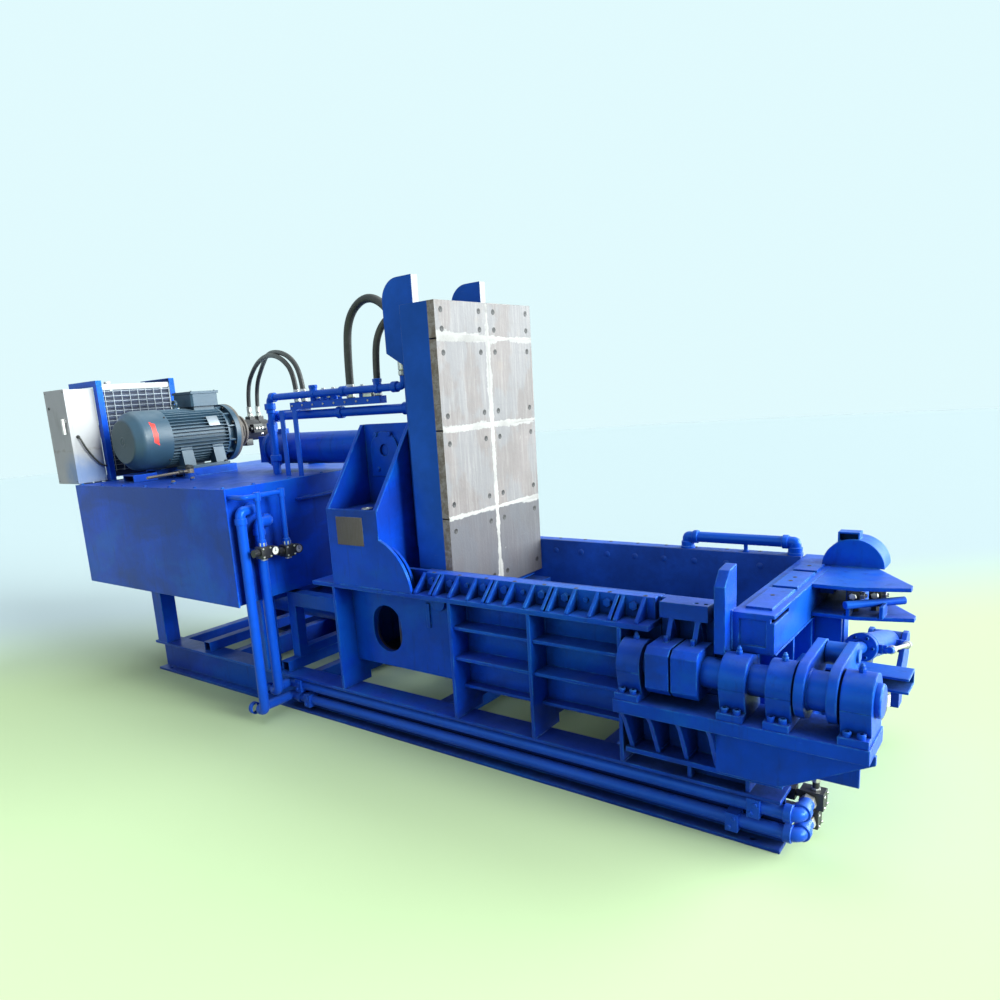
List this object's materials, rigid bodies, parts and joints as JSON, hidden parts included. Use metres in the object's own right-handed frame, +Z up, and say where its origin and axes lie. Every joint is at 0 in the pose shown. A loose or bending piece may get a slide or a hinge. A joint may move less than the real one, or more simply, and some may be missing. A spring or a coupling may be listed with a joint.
{
  "type": "recycling baler",
  "caption": "Hydraulic scrap baler on a skid: open chamber with ram, hinged lid with cylinder, turn-out cradle, oil tank with motor, pump, cooler and cabinet.",
  "frame": {"origin": "centre of the skid's footprint on the floor, in the middle of the anchor holes", "axes": "+X along the machine from the oil tank to the end beam, +Y away from the turn-out shaft, +Z up"},
  "size_m": [4.75, 1.617, 2.195],
  "materials": {
    "blue_paint": "gloss",
    "bare_plate": "rough",
    "bright_steel": "bright",
    "motor_paint": "satin",
    "cast_iron": "rough",
    "cabinet_paint": "satin",
    "cooler_alloy": "satin",
    "black_parts": "satin",
    "lever_steel": "rough",
    "hose_rubber": "satin"
  },
  "bodies": {
    "frame": {"skid_beams": "blue_paint", "skid_cross_members": "blue_paint", "chamber_legs": "blue_paint", "near_side_wall": "blue_paint", "far_side_wall": "blue_paint", "top_rails": "blue_paint", "wall_liner_plates": "bare_plate", "chamber_floor": "bare_plate", "ram_hold_down": "blue_paint", "cylinder_towers": "blue_paint", "end_beam": "blue_paint", "end_stiffeners": "blue_paint", "turnout_table": "blue_paint", "pillow_blocks": "blue_paint", "turnout_anchor": "blue_paint", "main_barrel": "blue_paint", "cylinder_supports": "blue_paint", "lid_hinge_pin": "bright_steel", "oil_tank": "blue_paint", "tank_stand": "blue_paint", "motor_body": "motor_paint", "motor_cowl": "motor_paint", "motor_terminal_box": "motor_paint", "motor_rails": "blue_paint", "bellhousing": "cast_iron", "pump": "cast_iron", "cooler_core": "cooler_alloy", "cooler_guard": "cooler_alloy", "cooler_frame": "blue_paint", "cooler_fan_shroud": "black_parts", "control_cabinet": "cabinet_paint", "valve_manifold": "bright_steel", "header_pipes": "blue_paint", "skid_pipes": "blue_paint", "pipe_clamps": "blue_paint", "end_valves": "black_parts", "gauge_manifold": "blue_paint", "pump_hoses": "hose_rubber", "lid_hoses": "hose_rubber", "end_hoses": "hose_rubber", "cabinet_cable": "hose_rubber"},
    "lid": {"lid_frame": "blue_paint", "lid_wear_plates": "bare_plate", "lid_horns": "blue_paint"},
    "lid_cylinder": {"lid_barrel": "blue_paint"},
    "lid_piston": {"lid_rod": "bright_steel"},
    "ram": {"main_ram": "blue_paint", "main_rod": "bright_steel"},
    "turnout": {"turnout_shaft": "bright_steel", "turnout_cradle": "blue_paint", "turnout_levers": "blue_paint"},
    "turnout_cylinder": {"turnout_barrel": "blue_paint"},
    "turnout_piston": {"turnout_rod": "bright_steel"},
    "motor_shaft": {"motor_rotor": "bright_steel"},
    "fan": {"cooler_fan": "black_parts"},
    "door": {"cabinet_door": "cabinet_paint"},
    "latch": {"cabinet_latch": "black_parts"},
    "valve_lever": {"hand_valve_lever": "lever_steel"},
    "knob_a": {"gauge_knob_a": "black_parts"},
    "knob_b": {"gauge_knob_b": "black_parts"}
  },
  "joints": [
    {"name": "lid_hinge", "type": "hinge", "parent": "frame", "child": "lid", "pos_m": [0.42, 0, 0.705], "axis": [0, -1, 0], "range_deg": [-90, 0]},
    {"name": "lid_cylinder_swing", "type": "hinge", "parent": "frame", "child": "lid_cylinder", "pos_m": [-0.015, 0, 1.4], "axis": [0, 1, 0], "range_deg": [0, 20.17]},
    {"name": "lid_rod_slide", "type": "slide", "parent": "lid_cylinder", "child": "lid_piston", "axis": [1, 0, 0], "range_m": [0, 1.0488]},
    {"name": "ram_slide", "type": "slide", "parent": "frame", "child": "ram", "axis": [1, 0, 0], "range_m": [0, 0.96]},
    {"name": "turnout_hinge", "type": "hinge", "parent": "frame", "child": "turnout", "pos_m": [1.831, -0.54, 0.625], "axis": [1, 0, 0], "range_deg": [0, 110]},
    {"name": "turnout_cylinder_swing", "type": "hinge", "parent": "frame", "child": "turnout_cylinder", "pos_m": [2.087, 0.64, 0.44], "axis": [-1, 0, 0], "range_deg": [0, 0.69]},
    {"name": "turnout_rod_slide", "type": "slide", "parent": "turnout_cylinder", "child": "turnout_piston", "axis": [0, -0.969, 0.2472], "range_m": [0, 0.3443]},
    {"name": "motor_spin", "type": "hinge", "parent": "frame", "child": "motor_shaft", "pos_m": [-1.78, 0, 1.51], "axis": [0, 1, 0], "continuous": true},
    {"name": "cooler_fan_spin", "type": "hinge", "parent": "frame", "child": "fan", "pos_m": [-2.24, -0.33, 1.58], "axis": [1, 0, 0], "continuous": true},
    {"name": "cabinet_door_hinge", "type": "hinge", "parent": "frame", "child": "door", "pos_m": [-2.418, -0.773, 1.56], "axis": [0, 0, -1], "range_deg": [0, 110]},
    {"name": "cabinet_latch_turn", "type": "hinge", "parent": "door", "child": "latch", "pos_m": [-2.192, -0.8, 1.66], "axis": [0, -1, 0], "range_deg": [0, 90]},
    {"name": "hand_valve_turn", "type": "hinge", "parent": "frame", "child": "valve_lever", "pos_m": [-1.53, -0.4, 1.3], "axis": [0, 0, 1], "range_deg": [-30, 60]},
    {"name": "gauge_knob_a_turn", "type": "hinge", "parent": "frame", "child": "knob_a", "pos_m": [-0.505, -0.74, 0.935], "axis": [0, 1, 0], "range_deg": [0, 360]},
    {"name": "gauge_knob_b_turn", "type": "hinge", "parent": "frame", "child": "knob_b", "pos_m": [-0.505, -0.585, 0.915], "axis": [0, 1, 0], "range_deg": [0, 360]}
  ],
  "couplings": [
    {"joint": "lid_cylinder_swing", "follows": "lid_hinge", "ratio": -0.22407},
    {"joint": "lid_rod_slide", "follows": "lid_hinge", "m_per_rad": -0.66768},
    {"joint": "turnout_cylinder_swing", "follows": "turnout_hinge", "ratio": 0.0062},
    {"joint": "turnout_rod_slide", "follows": "turnout_hinge", "m_per_rad": 0.17931}
  ]
}
